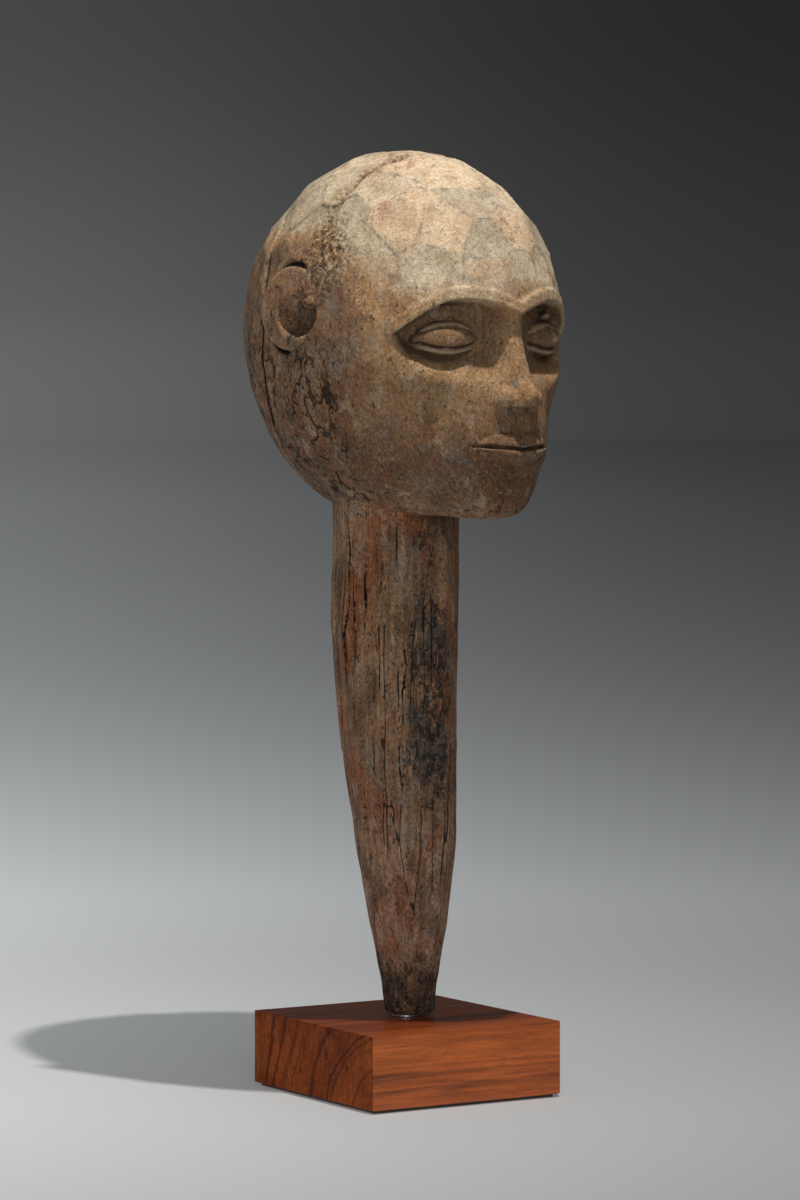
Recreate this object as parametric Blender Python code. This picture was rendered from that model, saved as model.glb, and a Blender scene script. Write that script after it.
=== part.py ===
"""A carved wooden ancestor figure, a head on a tapering stake, on a display block.

Metres, +Z up. The origin is the middle of the felt's underside, on the axis of the mounting pin. X runs
along the block's long grain, the block's front is -Y, and the carved face looks a little towards +X.
"""
import math

import bmesh
import bpy
from mathutils import Matrix, Vector

# ---- display block and its hardware -------------------------------------------------------------
GAP = 0.0003                        # left between pieces that rest on each other
BLOCK_WIDTH = 0.120                 # along X, the long grain
BLOCK_DEPTH = 0.126                 # along Y
BLOCK_HEIGHT = 0.040
BLOCK_EDGE = 0.0006                 # bevel on the block's sharp edges
FELT_THICKNESS = 0.0015
FELT_INSET = 0.003

PIN_RADIUS = 0.004                  # an M8 pin
PIN_RISE = 0.076                    # how far the pin stands above the block
PIN_BOTTOM = 0.0042
PIN_CHAMFER = 0.0010
COLLAR_RADIUS = 0.007               # the pin's collar, let into the top of the block
COLLAR_HEIGHT = 0.003
COUNTERBORE_RADIUS = 0.013
COUNTERBORE_DEPTH = 0.015
WASHER_RADIUS = 0.012
WASHER_THICKNESS = 0.0016
SPRING_RADIUS = 0.0074
SPRING_THICKNESS = 0.0020
SPRING_SLIT = math.radians(14)
NUT_ACROSS_FLATS = 0.013
NUT_HEIGHT = 0.0065
DISC_RADIUS = 0.008                 # the spacer that shows under the foot
DISC_THICKNESS = 0.0010
SLEEVE_LENGTH = 0.078               # the tube bonded into the foot
SLEEVE_WALL = 0.0010
BORE_SPARE = 0.002                  # bore depth past the end of the sleeve
ROUND = 48                          # sides of the round pieces

# ---- levels, from the table up ------------------------------------------------------------------
BLOCK_BOTTOM = FELT_THICKNESS + GAP
BLOCK_TOP = BLOCK_BOTTOM + BLOCK_HEIGHT
DISC_BOTTOM = BLOCK_TOP + GAP
FOOT = DISC_BOTTOM + DISC_THICKNESS + GAP
SLEEVE_TOP = FOOT + SLEEVE_LENGTH
PIN_TOP = BLOCK_TOP + PIN_RISE
HOLE_RADIUS = PIN_RADIUS + GAP
SLEEVE_RADIUS = HOLE_RADIUS + SLEEVE_WALL

# ---- the carving ----------------------------------------------------------------------------------
FACE_TURN = math.radians(8)         # the face looks this far from -Y towards +X
LEAN = Vector((0.849, -0.529))      # the sideways direction in which the stake leans
# Along the stake: height, sideways shift of the centre, radius.
STAKE = [
    (FOOT, 0.0021, 0.0135),
    (0.059, 0.0016, 0.0152),
    (0.092, 0.0014, 0.0214),
    (0.141, -0.0003, 0.0280),
    (0.191, -0.0027, 0.0322),
    (0.257, -0.0060, 0.0350),
    (0.340, -0.0060, 0.0350),
]
STAKE_SIDES = 12
STAKE_STEPS = 14

HEAD_CENTRE = Vector((-0.0042, -0.0029, 0.419))
HALF_WIDTH = 0.078
HALF_DEPTH = 0.097
CROWN_RISE = 0.096
JAW_DROP = 0.105
EYE_LEVEL = 0.413                   # half way up the head
EYE_SPACING = 0.031                 # centre of an eye from the middle of the face, a fifth of the width
SOCKET_SPACING = 0.033
SOCKET_LEVEL = 0.411
NOSE_BASE = 0.374
MOUTH_LEVEL = 0.352
EAR_CENTRE = Vector((-0.076, 0.0, 0.430))


# ---- helpers ----------------------------------------------------------------------------------------
def clear_scene():
    for item in list(bpy.data.objects):
        bpy.data.objects.remove(item, do_unlink=True)


def material(name, colour, roughness, metallic=0.0):
    made = bpy.data.materials.new(name)
    made.use_nodes = True
    shader = made.node_tree.nodes["Principled BSDF"]
    shader.inputs["Base Color"].default_value = (*colour, 1.0)
    shader.inputs["Roughness"].default_value = roughness
    shader.inputs["Metallic"].default_value = metallic
    made.diffuse_color = (*colour, 1.0)
    return made


def place(name, shape, finish=None, parent=None, smooth=False):
    """Turn a bmesh into a named object."""
    mesh = bpy.data.meshes.new(name)
    bmesh.ops.recalc_face_normals(shape, faces=shape.faces)
    shape.to_mesh(mesh)
    shape.free()
    thing = bpy.data.objects.new(name, mesh)
    bpy.context.scene.collection.objects.link(thing)
    if finish:
        mesh.materials.append(finish)
    if smooth:
        mesh.shade_smooth()
        mesh.set_sharp_from_angle(angle=math.radians(30))
    thing.parent = parent
    return thing


def empty(name, location):
    holder = bpy.data.objects.new(name, None)
    holder.location = location
    bpy.context.scene.collection.objects.link(holder)
    return holder


def box(centre, size):
    shape = bmesh.new()
    bmesh.ops.create_cube(shape, size=1.0)
    bmesh.ops.scale(shape, vec=size, verts=shape.verts)
    bmesh.ops.translate(shape, vec=centre, verts=shape.verts)
    return shape


def rod(radius, bottom, top, sides=ROUND):
    shape = bmesh.new()
    middle = Matrix.Translation((0, 0, (bottom + top) / 2))
    bmesh.ops.create_cone(shape, cap_ends=True, segments=sides, radius1=radius, radius2=radius,
                          depth=top - bottom, matrix=middle)
    return shape


def turned(profile, start=0.0, sweep=math.tau, sides=ROUND):
    """Spin a closed outline of (radius, height) points round the pin's axis."""
    shape = bmesh.new()
    rim = [shape.verts.new((r * math.cos(start), r * math.sin(start), z)) for r, z in profile]
    edges = [shape.edges.new((rim[i], rim[(i + 1) % len(rim)])) for i in range(len(rim))]
    whole = abs(sweep - math.tau) < 1e-6
    bmesh.ops.spin(shape, geom=edges, axis=(0, 0, 1), cent=(0, 0, 0), angle=sweep, steps=sides,
                   use_merge=whole)
    if whole:
        bmesh.ops.remove_doubles(shape, verts=shape.verts, dist=1e-6)
        lone = [edge for edge in shape.edges if not edge.link_faces]
        bmesh.ops.delete(shape, geom=lone, context="EDGES")
    else:
        ends = [edge for edge in shape.edges if len(edge.link_faces) < 2]
        bmesh.ops.holes_fill(shape, edges=ends, sides=0)
    return shape


def ellipsoid(centre, radii, segments=20, rings=12):
    shape = bmesh.new()
    bmesh.ops.create_uvsphere(shape, u_segments=segments, v_segments=rings, radius=1.0)
    bmesh.ops.scale(shape, vec=radii, verts=shape.verts)
    bmesh.ops.translate(shape, vec=centre, verts=shape.verts)
    return shape


def loft(sections):
    """Bridge closed rings of points into one solid with flat ends."""
    shape = bmesh.new()
    loops = []
    for ring in sections:
        points = [shape.verts.new(p) for p in ring]
        loops.append([shape.edges.new((points[i], points[i - 1])) for i in range(len(points))])
    for lower, upper in zip(loops, loops[1:]):
        bmesh.ops.bridge_loops(shape, edges=lower + upper)
    for end in (loops[0], loops[-1]):
        bmesh.ops.contextual_create(shape, geom=end)
    return shape


def combine(target, name, shape, operation, parent=None):
    """Add a shape to an object, or cut it away."""
    tool = place(name, shape, parent=parent)
    tool.hide_render = True
    tool.display_type = "WIRE"
    step = target.modifiers.new(name, "BOOLEAN")
    step.operation = operation
    step.solver = "EXACT"
    step.object = tool


def bevel_edges(thing, width):
    step = thing.modifiers.new("edge", "BEVEL")
    step.width = width
    step.segments = 2
    step.limit_method = "ANGLE"
    step.angle_limit = math.radians(40)


# ---- block and hardware ---------------------------------------------------------------------------
def base_block(finish, parent):
    middle = (BLOCK_BOTTOM + BLOCK_TOP) / 2
    block = place("base_block", box((0, 0, middle), (BLOCK_WIDTH, BLOCK_DEPTH, BLOCK_HEIGHT)),
                  finish, parent)
    bevel_edges(block, BLOCK_EDGE)
    combine(block, "pin_hole", rod(HOLE_RADIUS, BLOCK_BOTTOM - 0.01, BLOCK_TOP + 0.01), "DIFFERENCE")
    combine(block, "nut_counterbore",
            rod(COUNTERBORE_RADIUS, BLOCK_BOTTOM - 0.01, BLOCK_BOTTOM + COUNTERBORE_DEPTH), "DIFFERENCE")
    combine(block, "collar_recess",
            rod(COLLAR_RADIUS + GAP, BLOCK_TOP - COLLAR_HEIGHT - 2 * GAP, BLOCK_TOP + 0.01), "DIFFERENCE")
    return block


def felt_pad(finish, parent):
    size = (BLOCK_WIDTH - 2 * FELT_INSET, BLOCK_DEPTH - 2 * FELT_INSET, FELT_THICKNESS)
    return place("felt_pad", box((0, 0, FELT_THICKNESS / 2), size), finish, parent)


def mount_rod(finish, parent):
    collar_top = BLOCK_TOP - GAP
    collar_bottom = collar_top - COLLAR_HEIGHT
    inner = PIN_RADIUS - PIN_CHAMFER
    outline = [
        (inner, PIN_TOP),
        (PIN_RADIUS, PIN_TOP - PIN_CHAMFER),
        (PIN_RADIUS, collar_top),
        (COLLAR_RADIUS, collar_top),
        (COLLAR_RADIUS, collar_bottom),
        (PIN_RADIUS, collar_bottom),
        (PIN_RADIUS, PIN_BOTTOM + PIN_CHAMFER),
        (inner, PIN_BOTTOM),
    ]
    shape = bmesh.new()
    rims = []
    for radius, height in outline:
        ring = bmesh.ops.create_circle(shape, segments=ROUND, radius=radius,
                                       matrix=Matrix.Translation((0, 0, height)))["verts"]
        rims.append(list({edge for vert in ring for edge in vert.link_edges}))
    for upper, lower in zip(rims, rims[1:]):
        bmesh.ops.bridge_loops(shape, edges=upper + lower)
    bmesh.ops.contextual_create(shape, geom=rims[0])
    bmesh.ops.contextual_create(shape, geom=rims[-1])
    return place("mount_rod", shape, finish, parent, smooth=True)


def clamp_stack(steel, parent):
    """The washer, spring washer and nut, from the counterbore's ceiling down."""
    washer_top = BLOCK_BOTTOM + COUNTERBORE_DEPTH - GAP
    washer_bottom = washer_top - WASHER_THICKNESS
    spring_top = washer_bottom - GAP
    spring_bottom = spring_top - SPRING_THICKNESS
    nut_top = spring_bottom - GAP
    ring = [(HOLE_RADIUS, washer_bottom), (WASHER_RADIUS, washer_bottom),
            (WASHER_RADIUS, washer_top), (HOLE_RADIUS, washer_top)]
    place("clamp_washer", turned(ring), steel, parent, smooth=True)
    ring = [(HOLE_RADIUS, spring_bottom), (SPRING_RADIUS, spring_bottom),
            (SPRING_RADIUS, spring_top), (HOLE_RADIUS, spring_top)]
    place("spring_washer", turned(ring, SPRING_SLIT / 2, math.tau - SPRING_SLIT), steel, parent,
          smooth=True)
    corner = NUT_ACROSS_FLATS / math.sqrt(3)
    nut = place("clamp_nut", rod(corner, nut_top - NUT_HEIGHT, nut_top, sides=6), steel, parent)
    combine(nut, "nut_hole", rod(HOLE_RADIUS, nut_top - 0.02, nut_top + 0.01), "DIFFERENCE")


def spacer_disc(finish, parent):
    ring = [(HOLE_RADIUS, DISC_BOTTOM), (DISC_RADIUS, DISC_BOTTOM),
            (DISC_RADIUS, DISC_BOTTOM + DISC_THICKNESS), (HOLE_RADIUS, DISC_BOTTOM + DISC_THICKNESS)]
    return place("spacer_disc", turned(ring), finish, parent, smooth=True)


def foot_sleeve(finish, parent):
    ring = [(HOLE_RADIUS, FOOT), (SLEEVE_RADIUS, FOOT), (SLEEVE_RADIUS, SLEEVE_TOP),
            (HOLE_RADIUS, SLEEVE_TOP)]
    return place("foot_sleeve", turned(ring), finish, parent, smooth=True)


# ---- carving --------------------------------------------------------------------------------------
def between(table, height):
    """Shift and radius of the stake at a height, eased between the given points."""
    for (z0, shift0, r0), (z1, shift1, r1) in zip(table, table[1:]):
        if height <= z1:
            t = (height - z0) / (z1 - z0)
            return shift0 + (shift1 - shift0) * t, r0 + (r1 - r0) * t
    return table[-1][1:]


def stake():
    """The neck and the long stake, hewn to flat sides."""
    top = STAKE[-1][0]
    sections = []
    for step in range(STAKE_STEPS + 1):
        height = FOOT + (top - FOOT) * step / STAKE_STEPS
        shift, radius = between(STAKE, height)
        ring = []
        for side in range(STAKE_SIDES):
            turn = math.tau * (side + 0.5) / STAKE_SIDES
            ring.append((LEAN.x * shift + radius * math.cos(turn),
                         LEAN.y * shift + radius * math.sin(turn), height))
        sections.append(ring)
    return loft(sections)


def skull():
    """The egg-shaped head, hewn to facets."""
    shape = bmesh.new()
    bmesh.ops.create_icosphere(shape, subdivisions=4, radius=1.0)
    for vert in shape.verts:
        rise = CROWN_RISE if vert.co.z > 0 else JAW_DROP
        vert.co = (vert.co.x * HALF_WIDTH, vert.co.y * HALF_DEPTH,
                   HEAD_CENTRE.z + vert.co.z * rise)
    return shape


def nose():
    """A straight wedge from between the brows to the level of the nostrils."""
    bridge, base = EYE_LEVEL + 0.012, NOSE_BASE
    sections = [
        [(-0.0155, -0.080, base), (0.0155, -0.080, base), (0.0155, -0.098, base),
         (0.0060, -0.112, base), (-0.0060, -0.112, base), (-0.0155, -0.098, base)],
        [(-0.0080, -0.078, bridge), (0.0080, -0.078, bridge), (0.0070, -0.092, bridge),
         (0.0030, -0.096, bridge), (-0.0030, -0.096, bridge), (-0.0070, -0.092, bridge)],
    ]
    return loft(sections)


def carving(finish, parent):
    """Head, neck and stake in one piece of wood, with the bore for the sleeve."""
    wood = place("carving", stake(), finish)
    turned_head = empty("face_direction", (HEAD_CENTRE.x, HEAD_CENTRE.y, 0))
    turned_head.rotation_euler.z = FACE_TURN

    def add(name, shape):
        combine(wood, name, shape, "UNION", turned_head)

    def cut(name, shape):
        combine(wood, name, shape, "DIFFERENCE", turned_head)

    add("skull", skull())
    add("jaw", ellipsoid((0, -0.040, 0.364), (0.056, 0.053, 0.047)))
    for side in (-1, 1):
        socket = Vector((side * SOCKET_SPACING, -0.0885, SOCKET_LEVEL))
        cut(f"eye_socket_{side}", ellipsoid(socket, (0.0255, 0.0150, 0.0165)))
        eye = Vector((side * EYE_SPACING, -0.0750, EYE_LEVEL))
        add(f"eye_{side}", ellipsoid(eye, (0.0165, 0.0110, 0.0085)))
        ear = Vector((-side * EAR_CENTRE.x, EAR_CENTRE.y, EAR_CENTRE.z))
        add(f"ear_{side}", ellipsoid(ear, (0.0085, 0.0175, 0.0220)))
        cut(f"ear_hollow_{side}", ellipsoid(ear + Vector((side * 0.008, -0.003, 0)),
                                            (0.006, 0.0095, 0.0130)))
    add("nose", nose())
    add("upper_lip", ellipsoid((0, -0.086, MOUTH_LEVEL + 0.0035), (0.0245, 0.0125, 0.0050)))
    add("lower_lip", ellipsoid((0, -0.085, MOUTH_LEVEL - 0.0050), (0.0220, 0.0120, 0.0055)))
    cut("sleeve_bore", rod(SLEEVE_RADIUS + GAP, FOOT - 0.01, SLEEVE_TOP + BORE_SPARE))
    wood.modifiers["sleeve_bore"].object.parent = None
    wood.parent = parent
    return wood


# ---- assembly ---------------------------------------------------------------------------------------
def main():
    clear_scene()
    hardwood = material("oiled_hardwood", (0.36, 0.13, 0.06), 0.35)
    old_wood = material("weathered_wood", (0.34, 0.24, 0.16), 0.85)
    felt = material("felt", (0.03, 0.03, 0.032), 0.95)
    steel = material("steel", (0.55, 0.55, 0.56), 0.35, metallic=1.0)
    brass = material("brass", (0.72, 0.56, 0.28), 0.35, metallic=1.0)

    base = empty("base", (0, 0, 0))
    figure = empty("figure", (0, 0, 0))
    base_block(hardwood, base)
    felt_pad(felt, base)
    mount_rod(steel, base)
    clamp_stack(steel, base)
    spacer_disc(steel, figure)
    foot_sleeve(brass, figure)
    carving(old_wood, figure)


main()
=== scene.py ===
"""The looks of the carved ancestor figure: a weathered wooden head on a stake, on a hardwood block.

The carving is sculpted here as a solid field: every form is a function that is negative inside the wood
and positive outside it, in millimetres. The zero surface is meshed, hewn into facets and cracked, and
then coloured by procedural materials that read the masks stored on its points.
"""

import math

import bpy
import numpy as np
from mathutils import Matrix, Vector


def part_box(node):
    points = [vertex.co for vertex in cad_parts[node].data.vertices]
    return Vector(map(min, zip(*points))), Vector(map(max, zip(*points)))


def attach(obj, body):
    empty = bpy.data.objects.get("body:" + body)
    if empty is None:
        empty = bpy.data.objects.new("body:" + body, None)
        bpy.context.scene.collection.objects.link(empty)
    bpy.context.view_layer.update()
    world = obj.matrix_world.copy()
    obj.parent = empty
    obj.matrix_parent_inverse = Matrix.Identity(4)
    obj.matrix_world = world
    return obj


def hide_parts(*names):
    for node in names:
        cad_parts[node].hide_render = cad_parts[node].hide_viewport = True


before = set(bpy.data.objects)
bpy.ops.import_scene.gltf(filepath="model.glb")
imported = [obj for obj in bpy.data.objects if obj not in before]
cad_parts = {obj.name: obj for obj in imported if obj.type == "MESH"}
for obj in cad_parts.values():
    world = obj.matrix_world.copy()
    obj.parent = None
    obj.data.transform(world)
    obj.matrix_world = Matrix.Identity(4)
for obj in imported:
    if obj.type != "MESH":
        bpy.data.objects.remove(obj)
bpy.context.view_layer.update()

MM = 0.001
rng = np.random.default_rng(20)

# ---- sizes, read from the frame --------------------------------------------------------------------
GLUE_GAP, BORE_SPARE = 0.3, 2.0     # room round the pin's sleeve and above it, in millimetres
wood_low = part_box("carving")[0]
sleeve_low, sleeve_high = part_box("foot_sleeve")
FOOT = wood_low[2] / MM
BORE_RADIUS = (sleeve_high[0] - sleeve_low[0]) / 2 / MM + GLUE_GAP
BORE_TOP = sleeve_high[2] / MM + BORE_SPARE

# ---- the carving's driving dimensions, in millimetres -----------------------------------------------
FACE_TURN = math.radians(8)         # the face looks this far from -Y towards +X
LEAN = np.array([0.849, -0.529])    # the sideways direction in which the stake leans
# Along the stake: height, sideways shift of the centre, radius.
STAKE = np.array([
    (FOOT, 2.1, 13.0),
    (59, 1.6, 14.9),
    (92, 1.4, 21.2),
    (141, -0.3, 27.8),
    (191, -2.7, 31.9),
    (257, -6.0, 34.5),
    (345, -6.0, 34.3),
])
STAKE_TOP = 350.0                   # the stake ends inside the head
HEAD_FOOT = 296.0                   # no wood of the head is lower than this
HEAD_AXIS = np.array([-4.2, -2.9])  # where the head's own upright axis stands
HEAD_MIDDLE = 419.0
HALF_WIDTH, HALF_DEPTH = 78.0, 97.0
CROWN_RISE, JAW_DROP = 96.0, 105.0
# Centre and radii, each sideways, forward and up.
JAW = (0, 34, 368), (55, 55, 52)
CHIN = (0, 69, 331), (24, 21, 17)

BROW_LEVEL, EYE_LEVEL, NOSE_BASE, MOUTH_LEVEL, CHIN_LEVEL = 433.0, 412.0, 374.5, 355.0, 316.5
EYE_SPACING, EYE_DEPTH, EYE_TURN = 31.0, 70.3, math.radians(22)
FRONT = (36.0, 46.0)                # how far forward the sides of the head turn into the face
LOOK_DOWN = 3.6                     # how far under the middle of the eye the lids meet
EAR_FORWARD, EAR_LEVEL = -1.0, 429.0
EAR_RADII = (19.5, 22.5)            # of its outline, along and up
EAR_REACH = 32.0                    # nothing of the ear is farther from its middle
# The split behind one ear: height and how far forward it runs, then height and how deep it is.
SPLIT_PATH = ((327, -47), (355, -39), (383, -33), (440, -28.5), (475, -34))
SPLIT_DEPTH = ((322, 0), (330, 7.5), (350, 5), (358, 0),
               (363, 0), (374, 2.8), (440, 3.6), (474, 3.0), (480, 0))
FACET_LEAST, FACET_MOST = 13.0, 27.0    # spacing of the adze cuts on the head

# ---- the mesh's spacing and the box that it is sampled in, in millimetres -----------------------------
STEP = 1.1
MESH_LOW = np.array([-100.0, -126.0, FOOT - 6.0])
MESH_HIGH = np.array([96.0, 104.0, 522.0])


# ==== fields: negative inside, positive outside =======================================================
def smooth_min(a, b, k):
    h = np.maximum(k - np.abs(a - b), 0) / k
    return np.minimum(a, b) - h * h * k / 4


def smooth_max(a, b, k):
    return -smooth_min(-a, -b, k)


def smooth_step(low, high, value):
    t = np.clip((value - low) / (high - low), 0, 1)
    return t * t * (3 - 2 * t)


def ellipsoid(x, y, z, centre, radii):
    px, py, pz = x - centre[0], y - centre[1], z - centre[2]
    rx, ry, rz = radii
    k0 = np.sqrt((px / rx) ** 2 + (py / ry) ** 2 + (pz / rz) ** 2)
    k1 = np.sqrt((px / rx ** 2) ** 2 + (py / ry ** 2) ** 2 + (pz / rz ** 2) ** 2)
    return k0 * (k0 - 1) / np.maximum(k1, 1e-6)


def groove(across, half_width, depth):
    """How much a V-shaped cut lowers the surface, at a distance across it."""
    return depth * np.maximum(0, 1 - np.abs(across) / half_width)


def head_frame(points):
    """Sideways, forward and height of points, seen from the head."""
    c, s = math.cos(FACE_TURN), math.sin(FACE_TURN)
    dx, dy = points[:, 0] - HEAD_AXIS[0], points[:, 1] - HEAD_AXIS[1]
    return c * dx + s * dy, s * dx - c * dy, points[:, 2]


def head_mass(x, f, z):
    """The egg of the skull with the fuller jaw in front."""
    rise = np.where(z > HEAD_MIDDLE, CROWN_RISE, JAW_DROP)
    skull = ellipsoid(x, f, z, (0, 0, HEAD_MIDDLE), (HALF_WIDTH, HALF_DEPTH, rise))
    return smooth_min(skull, ellipsoid(x, f, z, *JAW), 14)


def brow_line(u):
    """Height of the brow's lower edge at a distance from the middle of the face."""
    inner = BROW_LEVEL - 8 * (np.clip(EYE_SPACING - u, 0, None) / EYE_SPACING) ** 2
    outer = BROW_LEVEL - 20 * (np.clip(u - EYE_SPACING, 0, None) / 30) ** 2
    return np.where(u < EYE_SPACING, inner, outer)


def socket(u, z):
    """How deep the hollow round each eye is."""
    under_brow = smooth_step(-0.2, 3.4, brow_line(u) - z)
    over_cheek = smooth_step(386, 409, z - 0.018 * np.clip(u - EYE_SPACING, 0, None) ** 2)
    by_nose = 0.35 + 0.65 * smooth_step(3, 14, u)
    return 12.0 * under_brow * over_cheek * by_nose * smooth_step(63, 46, u)


def soft_planes(u, z):
    """The cheekbone and the slight hollow under it."""
    bone = np.exp(-((u - 46) / 15) ** 2 - ((z - 393) / 12) ** 2)
    hollow = np.exp(-((u - 44) / 13) ** 2 - ((z - 366) / 15) ** 2)
    return 3.0 * hollow - 1.6 * bone


def eye(u, f, z):
    """A full almond-shaped eye, its two lids nearly closed over a calm downward look."""
    c, s = math.cos(EYE_TURN), math.sin(EYE_TURN)
    along = c * (u - EYE_SPACING) - s * (f - EYE_DEPTH)
    out = s * (u - EYE_SPACING) + c * (f - EYE_DEPTH)
    ball = ellipsoid(along, out, z, (0, 0, EYE_LEVEL), (18.5, 13.0, 11.0))
    almond = 0.85 * (np.abs(z - EYE_LEVEL + 0.3) - 9.0 * (1 - (along / 18.6) ** 2))
    ball = smooth_max(ball, almond, 1.6)
    above = z - (EYE_LEVEL - LOOK_DOWN + 0.012 * along ** 2)
    within = smooth_step(17.5, 14.5, np.abs(along))
    lid = 1.3 * smooth_step(-0.5, 0.5, above)
    rim = 0.9 * np.exp(-((above + 3.0) / 1.1) ** 2)
    cuts = groove(above + 0.9, 1.3, 2.6) + groove(above - 10.3 + 0.028 * along ** 2, 1.1, 1.2)
    return ball + (cuts - lid - rim) * within


def nose(u, f, z):
    """A straight nose with a flat ridge, rounded wings and a level base."""
    down = np.clip((430 - z) / (430 - NOSE_BASE), 0, 1)
    ridge = 90.5 + 18.0 * down ** 1.1
    width = 3.0 + 2.6 * down ** 2
    side = (f - ridge + 2.0 * (u - width)) / 2.24
    wedge = smooth_max(0.93 * (f - ridge), side, 2.2)
    wedge = smooth_max(wedge, z - 433, 4)
    tip = ellipsoid(u, f, z, (0, 99, NOSE_BASE + 7.5), (7.6, 10.2, 7.6))
    wing = ellipsoid(u, f, z, (9.8, 94.0, NOSE_BASE + 6.0), (5.4, 9.0, 6.6))
    form = smooth_min(smooth_min(wedge, tip, 3), wing, 2.6)
    form = smooth_max(form, NOSE_BASE + 0.16 * (f - 92) - z, 1.8)
    nostril = ellipsoid(u, f, z, (6.0, 98.5, NOSE_BASE + 0.4), (2.7, 4.6, 2.8))
    return smooth_max(form, -nostril, 0.8)


def muzzle(u, f, z):
    """The rounded front of the jaw, under the lips."""
    return ellipsoid(u, f, z, (0, 60, MOUTH_LEVEL + 2), (36, 36, 36))


def lips(u, z):
    """How far the surface of the jaw rises over two full lips, which meet in a level line."""
    across = np.sqrt(1 - np.clip(u / 24, 0, 1) ** 2)
    line = MOUTH_LEVEL - 0.9 * np.exp(-(u / 6.0) ** 2) + 0.0012 * u ** 2
    above = z - line
    top = 8.6 * across ** 1.2 - 1.5 * np.exp(-(u / 3.6) ** 2) + 0.01
    low = 9.8 * across + 0.01
    upper = (1.6 + 3.4 * np.clip(1 - above / top, 0, 1)) * smooth_step(0.4, -0.4, above - top)
    roll = np.clip(-above / low, 0, 1)
    lower = (1.6 + 3.6 * np.sin(math.pi * np.clip(roll + 0.12, 0, 1))) * smooth_step(1.0, 0.92, roll)
    full = np.where(above >= 0, upper, lower) * across ** 0.8
    furrow = groove(u, 4.2, 1.2) * smooth_step(0, 2.5, above - top)
    furrow = furrow * smooth_step(NOSE_BASE + 2, NOSE_BASE - 2, z)
    under = 1.6 * np.exp(-((above + 14) / 4.0) ** 2 - (u / 20) ** 2)
    border = (groove(above - top, 1.0, 1.0) + groove(above + low, 1.0, 1.0)) * across
    return full - furrow - under - border - groove(above, 1.2, 3.2) * smooth_step(26.5, 23.5, u)


def ear_share(f, z, margin=0.0):
    """Distance from the ear's middle, seen from the side: 1 on its outline, grown by a margin."""
    along, up = EAR_RADII[0] + margin, EAR_RADII[1] + margin
    return np.hypot((f - EAR_FORWARD) / along, (z - EAR_LEVEL) / up)


def ear_edge(f, z):
    """Roughly how far outside the ear's outline a place is."""
    return 20 * (ear_share(f, z) - 1)


def ear_plate(u, f, z):
    """The ear: it stands off the head at the back and lies flush towards the face."""
    plate = ear_edge(f, z)
    limit = u - 79.8 + 0.16 * f + 0.11 * np.clip(z - 425, 0, None)
    return smooth_max(plate, 0.98 * limit, 2.4)


def ear_bowl(u, f, z):
    """The hollow that opens the ear towards the face."""
    return ellipsoid(u, f, z, (87, 6.5, 425.5), (19.5, 15.5, 13.5))


def ear_knob(u, f, z):
    """The small swelling in front of the hollow."""
    return ellipsoid(u, f, z, (72.5, 12.5, 432), (5.5, 5.5, 3.4))


def ear_outline(f, z):
    """Depth of the cut that sets the back and underside of the ear off from the head."""
    open_front = smooth_step(10, 2, f + 0.35 * (EAR_LEVEL - z) * (z < EAR_LEVEL))
    return groove(ear_edge(f, z) - 0.9, 1.7, 2.4) * open_front


def add_ears(u, f, z, form):
    near = (u > 55) & (np.abs(z - EAR_LEVEL) < EAR_REACH) & (np.abs(f) < EAR_REACH)
    if not near.any():
        return form
    pick = np.nonzero(near)[0]
    nu, nf, nz = u[pick], f[pick], z[pick]
    part = form[pick] + ear_outline(nf, nz)
    part = np.minimum(part, ear_plate(nu, nf, nz))
    part = smooth_max(part, -ear_bowl(nu, nf, nz), 0.9)
    form[pick] = smooth_min(part, ear_knob(nu, nf, nz), 1.5)
    return form


def hair_line(x, f):
    """Distance forward of the cut that runs over the crown from ear to ear."""
    return f - 12 - 11 * (1 - np.clip(np.abs(x) / 55, 0, 1))


def side_split(x, f, z):
    """Distance from the long upright split behind one ear, and its depth at each height."""
    path = np.interp(z, *zip(*SPLIT_PATH))
    path = path + 0.35 * np.sin(z / 3.1) + 0.5 * np.sin(z / 8.3)
    return f - path, np.where(x < 0, np.interp(z, *zip(*SPLIT_DEPTH)), 0)


def head(points):
    """The whole head: its mass, the face, the ears, the line of the hair and the split."""
    x, f, z = head_frame(points)
    u = np.abs(x)
    form = head_mass(x, f, z)
    jaw_side = 0.80 * u + 0.28 * f - 0.53 * (z - 345) - 58
    form = smooth_max(form, np.where(f > 5, jaw_side, -50), 4.0)
    form = smooth_min(form, ellipsoid(u, f, z, *CHIN), 9)

    front = smooth_step(*FRONT, f)
    to_brow = z - brow_line(u)
    band = smooth_step(-0.8, 0.6, to_brow) * smooth_step(7.6, 6.2, to_brow) * smooth_step(62, 54, u)
    form = form + front * (socket(u, z) + soft_planes(u, z) - 1.8 * band)

    near_face = (f > 40) & (z > 305) & (z < 445) & (u < 60)
    if near_face.any():
        pick = np.nonzero(near_face)[0]
        nu, nf, nz, part = u[pick], f[pick], z[pick], form[pick]
        part = smooth_min(part, muzzle(nu, nf, nz), 16) - lips(nu, nz) * (nf > 60)
        part = smooth_min(part, nose(nu, nf, nz), 3.5)
        part = smooth_min(part, eye(nu, nf, nz), 0.8)
        form[pick] = part
    underside = CHIN_LEVEL + 0.05 * (70 - f) - z
    form = smooth_max(form, underside, 4.0)

    form = add_ears(u, f, z, form)
    form = form + groove(hair_line(x, f), 3.8, 3.2) * smooth_step(454, 464, z)
    across, depth = side_split(x, f, z)
    return form + groove(across, np.where(z < 358, 1.6, 2.4), depth)


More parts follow.
